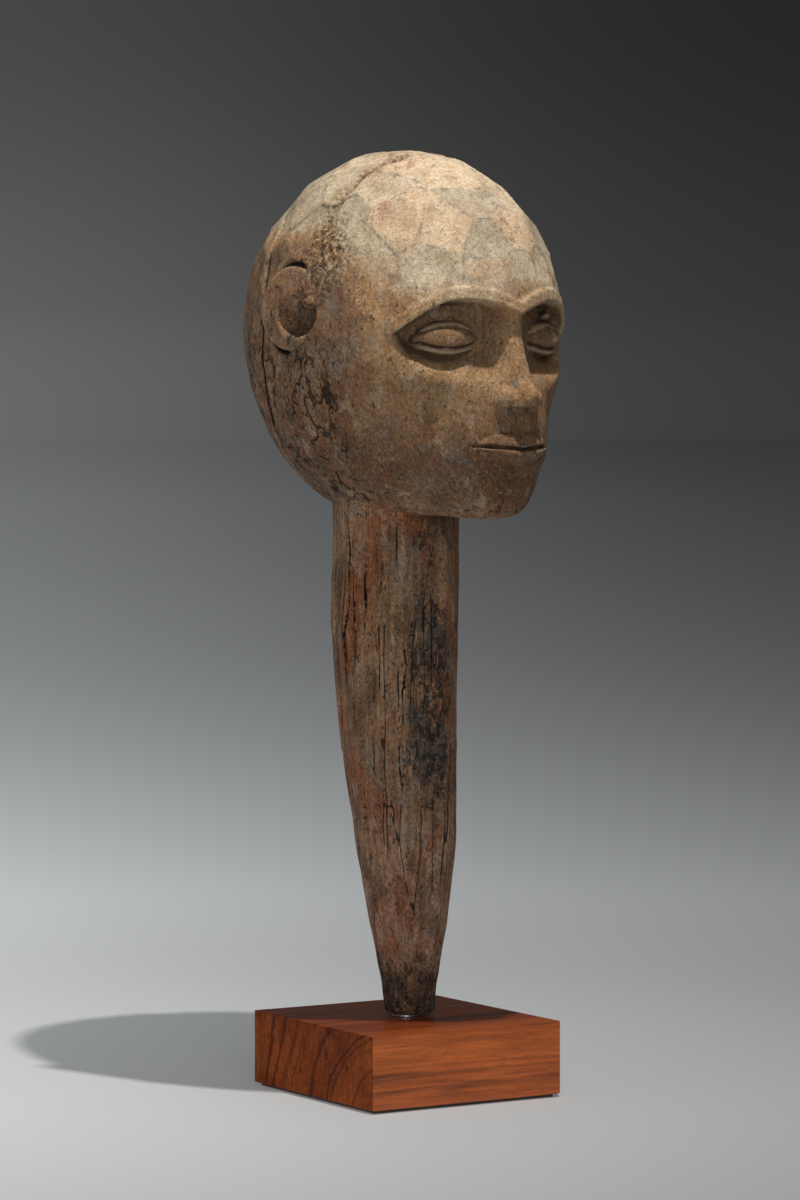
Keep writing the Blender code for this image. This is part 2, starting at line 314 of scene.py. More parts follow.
FLATS = 9                           # the long flat cuts round the stake
flat_turns = (np.arange(FLATS) + 0.34 * rng.uniform(-1, 1, FLATS)) * math.tau / FLATS - 0.35
flat_cuts = rng.uniform(-1.1, 0.6, (FLATS, 7))

# Drying cracks along the stake: azimuth in degrees, lower and upper height, half width, depth.
CRACKS = [
    (-84, 196, 322, 0.6, 2.0),
    (-76, 205, 312, 0.5, 1.6),
    (-62, 232, 300, 0.6, 1.8),
    (-48, 255, 296, 0.5, 1.2),
    (-31, 168, 262, 0.6, 1.6),
    (14, 60, 118, 0.5, 1.2),
    (44, 222, 322, 0.5, 1.2),
    (70, 96, 250, 0.6, 1.8),
    (108, 186, 318, 0.8, 2.6),
    (150, 70, 210, 0.6, 2.0),
    (197, 160, 330, 0.7, 2.4),
    (232, 60, 170, 0.6, 1.8),
    (251, 140, 268, 0.6, 2.0),
]


def crack_cut(azimuth, z, radius):
    """How deep the drying cracks are at a place on the stake."""
    total = np.zeros(len(z))
    for at, low, high, half, depth in CRACKS:
        sway = 1.3 * np.sin(z / 17.0 + at) + 0.5 * np.sin(z / 5.3 + 2 * at) + 0.03 * (z - low)
        turn = (azimuth - math.radians(at) + math.pi) % math.tau - math.pi
        along = np.clip((z - low) / (high - low), 0, 1)
        taper = np.clip(4 * along * (1 - along), 0, 1) ** 0.6
        taper = taper * (0.65 + 0.35 * np.sin(z / 9.0 + 3 * at))
        total = np.maximum(total, depth * taper * np.maximum(0, 1 - np.abs(turn * radius - sway) / half))
    return total


def stake_axis(points):
    """Offsets from the middle of the stake and its radius, at each point's height."""
    z = points[:, 2]
    shift = np.interp(z, STAKE[:, 0], STAKE[:, 1])
    bend = 0.35 * np.sin(z / 41.0) + 0.3 * np.sin(z / 23.0 + 2)
    px = points[:, 0] - LEAN[0] * shift - bend
    py = points[:, 1] - LEAN[1] * shift + bend
    return px, py, np.interp(z, STAKE[:, 0], STAKE[:, 2])


def stake(points):
    """The neck and stake, hewn along its length into long flat cuts."""
    z = points[:, 2]
    px, py, radius = stake_axis(points)
    levels = np.linspace(FOOT - 20, STAKE[-1, 0], flat_cuts.shape[1])
    form = np.full(len(z), -50.0)
    for turn, cuts in zip(flat_turns, flat_cuts):
        angle = turn + 0.0006 * (z - 200)
        cut = np.interp(z, levels + 14 * math.sin(turn * 5), cuts) * radius / 34
        form = smooth_max(form, px * np.cos(angle) + py * np.sin(angle) - radius - cut, 1.5)
    form = form + crack_cut(np.arctan2(px, -py), z, radius)
    form = smooth_max(form, FOOT - z, 3.0)
    return np.maximum(form, z - STAKE_TOP)


def carving(points):
    """Head, neck and stake in one piece, with the bore for the pin's sleeve."""
    z = points[:, 2]
    form = stake(points)
    upper = z > HEAD_FOOT
    if upper.any():
        pick = np.nonzero(upper)[0]
        form = form.copy()
        form[pick] = smooth_min(form[pick], head(points[pick]), 1.6)
    bore = np.maximum(np.hypot(points[:, 0], points[:, 1]) - BORE_RADIUS, z - BORE_TOP)
    return np.maximum(form, -bore)


# ==== meshing ==========================================================================================
def in_chunks(field, points, size=400000):
    """A field's values, worked out for some of the points at a time to save memory."""
    return np.concatenate([field(points[i:i + size]) for i in range(0, len(points), size)])


def sample_band(field, low, high, step, block=4):
    """Sample a field on a grid, finely only where its surface can be."""
    counts = np.ceil((high - low) / (step * block)).astype(int)
    wide = step * block
    axes = [low[i] + wide * (np.arange(counts[i]) + 0.5) for i in range(3)]
    centres = np.stack(np.meshgrid(*axes, indexing="ij"), axis=-1).reshape(-1, 3)
    coarse = in_chunks(field, centres).reshape(counts)
    values = np.repeat(np.repeat(np.repeat(np.sign(coarse) * 99.0, block, 0), block, 1), block, 2)
    near = np.argwhere(np.abs(coarse) < wide * 1.3)
    inner = np.stack(np.meshgrid(*[np.arange(block)] * 3, indexing="ij"), axis=-1).reshape(-1, 3)
    index = (near[:, None, :] * block + inner[None]).reshape(-1, 3)
    values[tuple(index.T)] = in_chunks(field, low + index * step)
    return values


def surface_nets(values, low, step):
    """Points and quads of the surface where the sampled field changes sign."""
    cells = np.array(values.shape) - 1
    inside = values < 0
    ids, crossings, flips = [], [], []
    for axis in range(3):
        b, c = (axis + 1) % 3, (axis + 2) % 3
        here = [slice(None)] * 3
        there = [slice(None)] * 3
        here[axis], there[axis] = slice(None, -1), slice(1, None)
        edge = np.argwhere(inside[tuple(here)] != inside[tuple(there)])
        across = edge[:, [b, c]]
        edge = edge[((across > 0) & (across < cells[[b, c]])).all(axis=1)]
        far = edge.copy()
        far[:, axis] += 1
        v0, v1 = values[tuple(edge.T)], values[tuple(far.T)]
        point = edge.astype(float)
        point[:, axis] += v0 / (v0 - v1)
        ring = []
        for db, dc in ((0, 0), (-1, 0), (-1, -1), (0, -1)):
            cell = edge.copy()
            cell[:, b] += db
            cell[:, c] += dc
            ring.append((cell[:, 0] * cells[1] + cell[:, 1]) * cells[2] + cell[:, 2])
        ids.append(np.stack(ring, axis=1))
        crossings.append(point)
        flips.append(v0 >= 0)
    ids = np.concatenate(ids)
    crossings = np.concatenate(crossings)
    flips = np.concatenate(flips)
    used, quads = np.unique(ids.reshape(-1), return_inverse=True)
    quads = quads.reshape(-1, 4)
    weight = np.bincount(quads.reshape(-1), minlength=len(used))
    points = np.stack([np.bincount(quads.reshape(-1), np.repeat(crossings[:, i], 4), len(used)) / weight
                       for i in range(3)], axis=1)
    quads[flips] = quads[flips][:, ::-1]
    return low + points * step, quads


def gradient(field, points, reach=0.35):
    """Outward direction of a field, by central differences."""
    slope = np.empty_like(points)
    for axis in range(3):
        offset = np.zeros(3)
        offset[axis] = reach
        slope[:, axis] = in_chunks(field, points + offset) - in_chunks(field, points - offset)
    slope /= 2 * reach
    return slope


def settle(field, points, rounds=2, limit=0.8):
    """Move points onto the field's surface."""
    for _ in range(rounds):
        slope = gradient(field, points)
        size = np.maximum((slope ** 2).sum(1), 0.2)
        move = -(in_chunks(field, points) / size)[:, None] * slope
        length = np.linalg.norm(move, axis=1)[:, None]
        points = points + move * np.minimum(1, limit / np.maximum(length, 1e-9))
    return points


# ==== noise ============================================================================================
LATTICE = 32
lattice = rng.uniform(-1, 1, (LATTICE, LATTICE, LATTICE))


def noise(points, size, stretch=(1, 1, 1), shift=0.0):
    """Smooth noise from -1 to 1 with blobs of about the given size."""
    p = points / (size * np.array(stretch, dtype=float)) + shift
    cell = np.floor(p).astype(int)
    t = p - cell
    t = t * t * (3 - 2 * t)
    total = np.zeros(len(points))
    for corner in range(8):
        d = np.array([corner & 1, corner >> 1 & 1, corner >> 2 & 1])
        weight = np.prod(np.where(d, t, 1 - t), axis=1)
        i, j, k = ((cell + d) % LATTICE).T
        total += weight * lattice[i, j, k]
    return total


def cloud(points, size, stretch=(1, 1, 1), shift=0.0, octaves=3):
    """Noise with finer and fainter noise laid over it."""
    total, weight = np.zeros(len(points)), 1.0
    for octave in range(octaves):
        total += weight * noise(points, size / 2 ** octave, stretch, shift + 7.3 * octave)
        weight *= 0.55
    return total


# ==== hewing the surface ==============================================================================
def scatter(points, least, most):
    """Pick points whose spacing varies between two sizes."""
    left = points[rng.permutation(len(points))]
    chosen = []
    while len(left):
        seed = left[0]
        chosen.append(seed)
        spacing = rng.uniform(least, most)
        left = left[((left - seed) ** 2).sum(1) > spacing ** 2]
    return np.array(chosen)


def nearest_two(points, seeds, size=20000):
    """Distances from each point to its nearest two seeds, and which seeds they are."""
    first, second, index = [], [], []
    for i in range(0, len(points), size):
        part = points[i:i + size]
        d = ((part[:, None, :] - seeds[None]) ** 2).sum(2)
        order = np.argpartition(d, 2, axis=1)[:, :2]
        dist = np.take_along_axis(d, order, axis=1)
        swap = dist[:, 0] > dist[:, 1]
        order[swap] = order[swap][:, ::-1]
        dist[swap] = dist[swap][:, ::-1]
        first.append(np.sqrt(dist[:, 0]))
        second.append(np.sqrt(dist[:, 1]))
        index.append(order)
    return np.concatenate(first), np.concatenate(second), np.concatenate(index)


def facet_move(points, normals, seeds, seed_normals, depths, tones, blend=1.2):
    """How far each point moves along its normal to lie on the flat cut nearest to it, and its tone."""
    first, second, index = nearest_two(points, seeds)
    moves = []
    for column in range(2):
        n = seed_normals[index[:, column]]
        s = seeds[index[:, column]] - n * depths[index[:, column]][:, None]
        along = np.clip((n * normals).sum(1), 0.6, 1)
        moves.append(((s - points) * n).sum(1) / along)
    share = 0.5 + 0.5 * np.clip((second - first) / blend, 0, 1)
    tone = tones[index[:, 0]] * share + tones[index[:, 1]] * (1 - share)
    return moves[0] * share + moves[1] * (1 - share), second - first, tone


def smooth_head(points):
    """The head's mass alone, without face, ears or cuts."""
    return head_mass(*head_frame(points))


def unit(vectors):
    return vectors / np.maximum(np.linalg.norm(vectors, axis=1), 1e-6)[:, None]


def plain_parts(u, f, z):
    """Where the head is hewn flat: everywhere but the ears and the features of the face."""
    plain = smooth_step(320, 328, z) * (0.7 + 0.3 * smooth_step(405, 440, z))
    eyes = smooth_step(36, 44, f) * smooth_step(64, 57, u)
    eyes = eyes * smooth_step(447, 441, z) * smooth_step(390, 396, z)
    middle = smooth_step(60, 66, f) * smooth_step(428, 422, z) * smooth_step(34, 26, u)
    ears = (u > 50) * smooth_step(1.2, 1.0, ear_share(f, z, 0.5))
    return plain * (1 - eyes) * (1 - middle) * (1 - ears)


def hew(points):
    """Move the plain parts of the head onto flat adze cuts, and say how near each point is to a join."""
    x, f, z = head_frame(points)
    plain = plain_parts(np.abs(x), f, z)
    normals = unit(gradient(smooth_head, points, 1.0))
    level = points - normals * in_chunks(smooth_head, points)[:, None]
    seeds = scatter(level[(plain > 0.3) & (z > 325)], FACET_LEAST, FACET_MOST)
    seed_normals = unit(gradient(smooth_head, seeds, 1.0))
    depths = rng.uniform(0.0, 0.8, len(seeds))
    tones = rng.uniform(-1.0, 1.0, len(seeds))
    cut, border, tone = facet_move(level, normals, seeds, seed_normals, depths, tones)
    join = np.exp(-(border / 1.1) ** 2) * plain * smooth_step(428, 448, z)
    moved = points + normals * (np.clip(1.25 * cut, -1.7, 1.2) * plain)[:, None]
    return moved, {"join": join, "facet": 0.5 + 0.5 * tone * plain * smooth_step(318, 330, z)}


def sculpt():
    """Mesh the carving and give its points their masks."""
    values = sample_band(carving, MESH_LOW, MESH_HIGH, STEP)
    points, quads = surface_nets(values, MESH_LOW, STEP)
    points = settle(carving, points)
    normals = unit(gradient(carving, points, 0.8))
    x, f, z = head_frame(points)
    in_bore = (np.hypot(points[:, 0], points[:, 1]) < BORE_RADIUS + 0.5) & (z < BORE_TOP + 1)
    masks = paint(points, normals, in_bore)
    points, facets = hew(points)
    masks.update(facets)

    on_stake = smooth_step(325, 310, z)
    face = smooth_step(60, 70, f) * smooth_step(440, 425, z) * (z > 320) * (np.abs(x) < 45)
    swell = 0.40 * cloud(points, 26.0)
    fibre = 0.26 * cloud(points, 3.4, (1, 1, 8), 3.0, octaves=2)
    chips = -0.6 * smooth_step(0.45, 0.9, cloud(points, 9.0, (1, 1, 1.6), 21.0, octaves=2))
    grit = 0.75 * masks["rough"] * cloud(points, 3.0, shift=11.0, octaves=2)
    ragged = -1.6 * smooth_step(FOOT + 9, FOOT + 2, z) * np.clip(cloud(points, 11.0, shift=5.0), -0.2, 1)
    small = fibre * (0.4 + 0.6 * on_stake) + chips * (0.35 + 0.65 * on_stake)
    move = swell + (1 - 0.8 * face) * small + grit + ragged
    keep = smooth_step(FOOT + 0.3, FOOT + 2.5, z) * ~in_bore
    return points + normals * (move * keep)[:, None], quads, masks


def paint(points, normals, in_bore):
    """Where the wood is hollow, worn, cracked, rough, pale or stained, and where shade and highlights
    are painted on it.
    """
    x, f, z = head_frame(points)
    u = np.abs(x)
    # How enclosed each place is, at two reaches: it becomes painted shade, a darker brown in the
    # hollows.
    hollow = np.zeros(len(points))
    for reach, weight in ((3.0, 0.45), (9.0, 0.55)):
        open_air = in_chunks(carving, points + normals * reach) / reach
        hollow += weight * np.clip(1 - open_air, 0, 1)
    # How sharp each convex edge is: pale wear there, partly painted highlight.
    edge = np.clip(1 + in_chunks(carving, points - normals * 2.2) / 2.2, 0, 1)

    across, depth = side_split(x, f, z)
    split = smooth_step(1.9, 0.9, np.abs(across)) * np.clip(depth / 1.8, 0, 1) * smooth_step(446, 436, z)
    # The cut round the back and underside of the ear is darkened with the splits: painted shade.
    outline = ear_outline(f, z) * (u > 60) * (np.abs(z - EAR_LEVEL) < EAR_REACH)
    split = np.maximum(split, 0.45 * np.clip(outline, 0, 1))
    px, py, radius = stake_axis(points)
    azimuth = np.arctan2(px, -py)
    on_stake = smooth_step(330, 318, z)
    split = np.maximum(split, np.clip(crack_cut(azimuth, z, radius) / 0.9, 0, 1) * on_stake)

    temple = np.exp(-(((u - 66) / 20) ** 2 + ((f - 20) / 15) ** 2 + ((z - 457) / 19) ** 2))
    # The hair-line cut: rough like the temple, and tinted browner in the material as painted shade.
    band = np.exp(-(hair_line(x, f) / 3.4) ** 2) * smooth_step(450, 462, z)
    rough = np.clip(band + 1.2 * temple, 0, 1)

    limit = 462 - 38 * smooth_step(15, 58, f) + 8 * cloud(points, 30.0, shift=2.0)
    crown = smooth_step(-14, 30, z - limit)
    face = 0.46 * smooth_step(22, 62, f + 6 * cloud(points, 20.0, shift=9.0)) * smooth_step(326, 400, z)
    sides = 0.2 * smooth_step(410, 455, z)
    pale = np.maximum(crown, np.maximum(face, sides)) * (z > 318)
    # Painted shade in the eye sockets under the brow.
    painted_socket_shade = smooth_step(3, 9, socket(u, z)) * smooth_step(*FRONT, f) * (z > 385)

    turn = np.degrees(azimuth)
    stain = np.exp(-((turn - 2) / 36) ** 2) * smooth_step(135, 185, z)
    stain = stain * (0.45 + 0.55 * smooth_step(285, 245, z))
    stain = stain + 0.6 * np.exp(-((np.abs(turn) - 150) / 35) ** 2) * smooth_step(120, 200, z)
    stain = (stain + 0.8 * smooth_step(96, 60, z)) * on_stake
    behind = (1 - on_stake) * smooth_step(470, 420, z) * smooth_step(50, 15, f)
    stain = np.clip(stain + 0.5 * behind, 0, 1)

    low_sides = smooth_step(440, 385, z) * smooth_step(50, 15, f)
    under_jaw = 0.55 * smooth_step(352, 336, z) * smooth_step(66, 48, f)
    # A painted highlight along the lit side of the split behind the ear, laid on with the edges.
    painted_split_highlight = (x < 0) * smooth_step(1.9, 0.8, np.abs(across - 0.9))
    painted_split_highlight = painted_split_highlight * smooth_step(432, 442, z) * smooth_step(478, 470, z)
    return {
        "hollow": hollow * ~in_bore,
        "edge": np.maximum(edge, 0.9 * painted_split_highlight),
        "split": split,
        "rough": rough,
        "band": band,
        "pale": pale,
        "painted_socket_shade": painted_socket_shade,
        "stain": stain,
        "crackle": (1 - on_stake) * np.maximum(low_sides, under_jaw),
        "stake": on_stake,
    }


def mesh_object(name, points, quads, masks):
    """A Blender object from points in millimetres, with its masks stored on them."""
    mesh = bpy.data.meshes.new(name)
    mesh.vertices.add(len(points))
    mesh.vertices.foreach_set("co", (points * MM).astype(np.float32).reshape(-1))
    mesh.loops.add(quads.size)
    mesh.loops.foreach_set("vertex_index", quads.astype(np.int32).reshape(-1))
    mesh.polygons.add(len(quads))
    mesh.polygons.foreach_set("loop_start", np.arange(0, quads.size, 4, dtype=np.int32))
    mesh.update(calc_edges=True)
    mesh.validate()
    mesh.shade_smooth()
    for mask, values in masks.items():
        layer = mesh.attributes.new(mask, "FLOAT", "POINT")
        layer.data.foreach_set("value", values.astype(np.float32))
    thing = bpy.data.objects.new(name, mesh)
    bpy.context.scene.collection.objects.link(thing)
    return thing


# ==== materials =======================================================================================
def srgb(red, green, blue):
    """A colour given as screen values from 0 to 255."""
    return tuple((c / 255 / 12.92) if c < 11 else ((c / 255 + 0.055) / 1.055) ** 2.4
                 for c in (red, green, blue)) + (1.0,)


class Tree:
    """Short calls for building a node tree, whose textures lie in the given coordinates."""

    def __init__(self, tree, coordinates):
        self.tree = tree
        self.place = self.add("TexCoord").outputs[coordinates]

    def link(self, source, socket):
        if isinstance(source, bpy.types.NodeSocket):
            self.tree.links.new(source, socket)
        else:
            socket.default_value = source

    def add(self, kind, inputs=None, **settings):
        """A new node: its settings are made first, then its inputs are linked or given a value."""
        node = self.tree.nodes.new("ShaderNode" + kind)
        for key, value in settings.items():
            setattr(node, key, value)
        for key, source in (inputs or {}).items():
            self.link(source, node.inputs[key])
        return node

    def mask(self, name):
        return self.add("Attribute", attribute_name=name).outputs["Fac"]

    def stretch(self, scale, location=(0, 0, 0), rotation=(0, 0, 0), vector=None):
        return self.add("Mapping", {"Vector": vector or self.place, "Location": location,
                                    "Rotation": rotation, "Scale": scale}).outputs["Vector"]

    def noise(self, scale, detail=4, vector=None, roughness=0.55):
        return self.add("TexNoise", {"Vector": vector or self.place, "Scale": scale,
                                     "Detail": detail, "Roughness": roughness}).outputs["Fac"]

    def cells(self, scale, vector):
        """Distance to the nearest border between irregular cells."""
        return self.add("TexVoronoi", {"Vector": vector, "Scale": scale},
                        feature="DISTANCE_TO_EDGE").outputs["Distance"]

    def math(self, operation, a, b=0.0):
        return self.add("Math", {0: a, 1: b}, operation=operation).outputs[0]

    def vector(self, operation, a, b=(0, 0, 0)):
        """A number from one or two vectors."""
        return self.add("VectorMath", {0: a, 1: b}, operation=operation).outputs["Value"]

    def range(self, value, low, high, to_low=0.0, to_high=1.0):
        """A value taken smoothly from one range to another, and held at its ends."""
        limits = {"From Min": low, "From Max": high, "To Min": to_low, "To Max": to_high}
        return self.add("MapRange", {"Value": value, **limits},
                        interpolation_type="SMOOTHSTEP").outputs["Result"]

    def times(self, a, b):
        return self.math("MULTIPLY", a, b)

    def plus(self, a, b):
        return self.math("ADD", a, b)

    def mix(self, factor, a, b, blend="MIX"):
        return self.add("Mix", {"Factor": factor, "A": a, "B": b},
                        data_type="RGBA", blend_type=blend).outputs["Result"]

    def tint(self, colour, amount, other):
        """Lay another colour over one, where the amount says."""
        return self.mix(amount, colour, other)

    def shade(self, colour, value, low, high, dark, light):
        """Darken and lighten a colour by a value between two limits."""
        return self.mix(1.0, colour, self.range(value, low, high, dark, light), "MULTIPLY")

    def wander(self, vector, scale, amount):
        """The same place, pushed about by a soft noise."""
        push = self.add("TexNoise", {"Vector": vector, "Scale": scale, "Detail": 3}).outputs["Color"]
        push = self.add("VectorMath", {0: push, "Scale": amount}, operation="SCALE").outputs[0]
        return self.add("VectorMath", {0: vector, 1: push}, operation="ADD").outputs[0]

    def axis(self, which, vector=None):
        return self.add("SeparateXYZ", {0: vector or self.place}).outputs[which]

    def greys(self, value, stops, tint):
        """A grey that changes along a value by the given stops."""
        ramp = self.add("ValToRGB", {"Fac": value})
        ramp.color_ramp.interpolation = "B_SPLINE"
        for at, _ in stops[1:-1]:
            ramp.color_ramp.elements.new(at)
        for element, (at, grey) in zip(ramp.color_ramp.elements, stops):
            element.position = at
            element.color = tuple(grey * part for part in tint) + (1.0,)
        return ramp.outputs["Color"]

    def side_fall(self, side, strength):
        """How much light is left towards one side of the view."""
        return self.math("EXPONENT", self.times(self.math("TANH", side), -strength))


class Nodes(Tree):
    """The node tree of one new material."""

    def __init__(self, name, roughness=0.8):
        self.material = bpy.data.materials.new(name)
        self.material.use_nodes = True
        super().__init__(self.material.node_tree, "Object")
        self.shader = self.tree.nodes["Principled BSDF"]
        self.shader.inputs["Roughness"].default_value = roughness

    def bump(self, height, distance, strength=1.0, before=None):
        inputs = {"Height": height, "Distance": distance, "Strength": strength}
        if before is not None:
            inputs["Normal"] = before
        return self.add("Bump", inputs).outputs["Normal"]

    def finish(self, colour, roughness=None, normal=None):
        """Join the tree to its shader."""
        for key, source in (("Base Color", colour), ("Roughness", roughness), ("Normal", normal)):
            if source is not None:
                self.link(source, self.shader.inputs[key])
        return self.material


def wood_ground(n, patch):
    """The wood's colour: brown on the sides and stake, tan on the face, pale on the crown, darker and
    browner low on the head, with painted shade in the eye sockets.
    """
    broad = n.noise(24, 4, roughness=0.6)
    brown = n.mix(n.range(broad, 0.38, 0.62), srgb(124, 93, 68), srgb(162, 122, 88))
    warm = n.range(n.noise(34, 4, n.stretch((1, 1, 0.6), (3, 1, 7)), 0.6), 0.51, 0.59)
    warm = n.times(warm, n.range(n.mask("stake"), 0.0, 1.0, 0.35, 0.7))
    brown = n.tint(brown, warm, srgb(152, 88, 50))
    grey = n.range(n.noise(52, 5, n.stretch((1, 1, 0.7), (9, 4, 2)), 0.65), 0.53, 0.64)
    brown = n.tint(brown, n.times(grey, 0.6), srgb(144, 130, 114))
    tan = n.mix(n.range(patch, 0.36, 0.62), srgb(164, 124, 84), srgb(190, 152, 108))
    buff = n.mix(n.range(patch, 0.36, 0.62), srgb(186, 163, 131), srgb(213, 194, 166))
    facet = n.mask("facet")
    buff = n.tint(buff, n.range(facet, 0.72, 0.95, 0.0, 0.35), srgb(206, 166, 126))
    buff = n.tint(buff, n.range(facet, 0.25, 0.05, 0.0, 0.28), srgb(160, 156, 140))
    ragged = n.plus(n.mask("pale"), n.times(n.math("SUBTRACT", patch, 0.5), 0.7))
    colour = n.mix(n.range(ragged, 0.08, 0.5), brown, tan)
    colour = n.mix(n.range(ragged, 0.45, 0.95), colour, buff)
    colour = n.shade(colour, facet, 0.0, 1.0, 0.93, 1.07)
    jaw = n.times(n.range(n.axis("Z"), 0.42, 0.33), n.range(n.mask("stake"), 1.0, 0.0))
    colour = n.tint(colour, n.times(jaw, 0.48), srgb(90, 58, 36))
    # Painted shade: the eye sockets are tinted brown.
    return n.tint(colour, n.times(n.mask("painted_socket_shade"), 0.7), srgb(122, 94, 68))


def wood_flecks(n, colour):
    """Small red flecks and blue-grey smudges, mostly on the pale parts."""
    red = n.range(n.noise(70, 5, n.stretch((1, 1, 0.6), (5, 2, 1)), 0.72), 0.57, 0.67)
    colour = n.tint(colour, n.times(red, 0.5), srgb(146, 76, 60))
    smudge = n.range(n.noise(85, 5, n.stretch((1, 1, 1), (2, 9, 4)), 0.7), 0.57, 0.67)
    colour = n.tint(colour, n.times(smudge, 0.5), srgb(122, 128, 126))
    broken = n.range(n.noise(130, 4, n.stretch((1, 1, 1), (6, 1, 8)), 0.7), 0.46, 0.56)
    return n.tint(colour, n.times(n.times(n.mask("join"), broken), 0.75), srgb(96, 100, 100))


def wood_stains(n, colour):
    """Black speckled stains, thickest where the stain mask is strong, and pale scuffs between them, laid
    on thickly low on the stake, partly as painted light.
    """
    stain = n.mask("stain")
    scuff = n.noise(95, 6, n.stretch((1, 1, 0.6), (6, 3, 1)), 0.75)
    colour = n.tint(colour, n.range(scuff, 0.53, 0.65, 0.0, 0.6), srgb(182, 158, 130))
    # Pale scuffs low on the stake: partly real scuffs, partly painted light that lightens the lower
    # stake.
    low_down = n.times(n.range(n.axis("Z"), 0.20, 0.12), n.range(n.axis("Z"), 0.065, 0.10))
    low_scuff_and_painted_light = n.times(low_down, n.range(scuff, 0.44, 0.58, 0.05, 0.6))
    colour = n.tint(colour, low_scuff_and_painted_light, srgb(190, 152, 132))
    spread = n.noise(70, 6, n.stretch((1, 1, 0.55), (1, 8, 3)), 0.78)
    amount = n.plus(spread, n.times(n.math("SUBTRACT", stain, 0.44), 0.24))
    colour = n.tint(colour, n.range(amount, 0.55, 0.62, 0.0, 0.66), srgb(68, 63, 58))
    blots = n.noise(230, 5, n.stretch((1, 1, 0.6), (4, 4, 9)), 0.82)
    darker = n.plus(blots, n.times(n.math("SUBTRACT", stain, 0.32), 0.15))
    darker = n.math("SUBTRACT", darker, n.times(n.mask("pale"), 0.05))
    return n.tint(colour, n.range(darker, 0.58, 0.615, 0.0, 0.85), srgb(39, 37, 37))


def fine_cracks(n):
    """Broken drying cracks: long ones down the stake, a fine net low on the sides of the head."""
    tall = n.wander(n.stretch((1, 1, 0.035)), 60, 0.008)
    long_crack = n.range(n.cells(110, tall), 0.034, 0.004)
    gaps = n.range(n.noise(34, 4, n.stretch((1, 1, 0.35), (2, 6, 5)), 0.6), 0.525, 0.565)
    long_crack = n.times(n.times(long_crack, gaps), n.mask("stake"))
    loose = n.wander(n.stretch((1, 1, 0.55)), 160, 0.012)
    net = n.range(n.cells(80, loose), 0.075, 0.01)
    breaks = n.range(n.noise(75, 4, n.stretch((1, 1, 0.6), (7, 3, 5)), 0.7), 0.48, 0.56)
    net = n.times(n.times(net, breaks), n.range(n.mask("crackle"), 0.3, 0.9))
    return n.math("MAXIMUM", long_crack, net)


def old_wood():
    """Dry carved wood with dust, grain, stains and drying cracks, painted shade in its hollows and cuts,
    and pale worn edges with painted highlights.
    """
    n = Nodes("old_wood", 0.9)
    n.shader.inputs["Specular IOR Level"].default_value = 0.3
    patch = n.noise(80, 6, roughness=0.68)
    grain = n.noise(300, 5, n.stretch((1, 1, 0.07)), 0.7)
    speck = n.noise(900, 2, n.stretch((1, 1, 0.7)), 0.7)
    spot = n.noise(380, 4, n.stretch((1, 1, 0.75), (2, 2, 7)), 0.75)
    dust = n.noise(560, 5, n.stretch((1, 1, 0.8), (8, 8, 1)), 0.85)
    scratch = n.noise(600, 3, n.stretch((0.08, 0.08, 1), (3, 3, 3)), 0.6)
    crack = fine_cracks(n)
    pale = n.mask("pale")
    quiet = n.range(pale, 0.0, 1.0, 1.0, 0.55)

    colour = wood_flecks(n, wood_ground(n, patch))
    colour = wood_stains(n, colour)
    grained = n.shade(colour, grain, 0.34, 0.66, 0.70, 1.28)
    on_stake = n.range(n.mask("stake"), 0.0, 1.0, 0.28, 1.0)
    colour = n.mix(on_stake, colour, grained)
    dusty = n.shade(colour, dust, 0.38, 0.62, 0.68, 1.28)
    colour = n.mix(n.range(pale, 0.3, 1.0, 0.0, 0.4), dusty, colour)
    colour = n.tint(colour, n.times(n.range(spot, 0.60, 0.64), n.times(quiet, 0.85)), srgb(36, 29, 25))
    colour = n.tint(colour, n.range(spot, 0.38, 0.33, 0.0, 0.4), srgb(190, 166, 134))
    colour = n.tint(colour, n.times(n.range(speck, 0.62, 0.67), n.times(quiet, 0.8)), srgb(38, 30, 25))
    colour = n.tint(colour, n.range(speck, 0.38, 0.33, 0.0, 0.4), srgb(214, 192, 160))
    colour = n.tint(colour, n.times(n.range(scratch, 0.66, 0.74), n.times(n.mask("stake"), 0.35)),
                    srgb(160, 138, 112))
    coarse = n.noise(420, 3, n.stretch((1, 1, 1), (5, 5, 5)), 0.7)
    colour = n.tint(colour, n.times(n.range(coarse, 0.52, 0.57), n.times(n.mask("rough"), 0.9)),
                    srgb(74, 54, 38))
    colour = n.tint(colour, n.times(n.range(coarse, 0.45, 0.40), n.times(n.mask("rough"), 0.7)),
                    srgb(226, 200, 160))
    # Painted shade: the hair-line cut is tinted browner.
    colour = n.tint(colour, n.times(n.mask("band"), 0.55), srgb(130, 98, 66))
    # Painted shade: darker brown in the hollows.
    colour = n.tint(colour, n.range(n.mask("hollow"), 0.25, 0.8, 0.0, 0.7), srgb(54, 40, 30))
    # Pale wear on convex edges, partly painted highlight, and a painted highlight along the split.
    colour = n.tint(colour, n.range(n.mask("edge"), 0.22, 0.55, 0.0, 0.55), srgb(205, 180, 146))
    colour = n.tint(colour, n.times(crack, 0.9), srgb(22, 17, 14))
    # Near-black in the open splits and cracks, and painted shade in the cut round the ear.
    colour = n.tint(colour, n.range(n.mask("split"), 0.1, 0.6), srgb(14, 10, 8))

    soft_grain = n.times(grain, n.range(n.mask("stake"), 0.0, 1.0, 0.25, 1.0))
    normal = n.bump(soft_grain, 0.0009, 0.7)
    normal = n.bump(dust, 0.0010, 0.8, normal)
    normal = n.bump(spot, 0.0009, 0.8, normal)
    normal = n.bump(speck, 0.0005, 0.8, normal)
    normal = n.bump(crack, -0.0016, 1.0, normal)
    normal = n.bump(n.times(coarse, n.mask("rough")), 0.0022, 1.0, normal)
    return n.finish(colour, n.range(patch, 0.3, 0.7, 0.78, 0.96), normal)


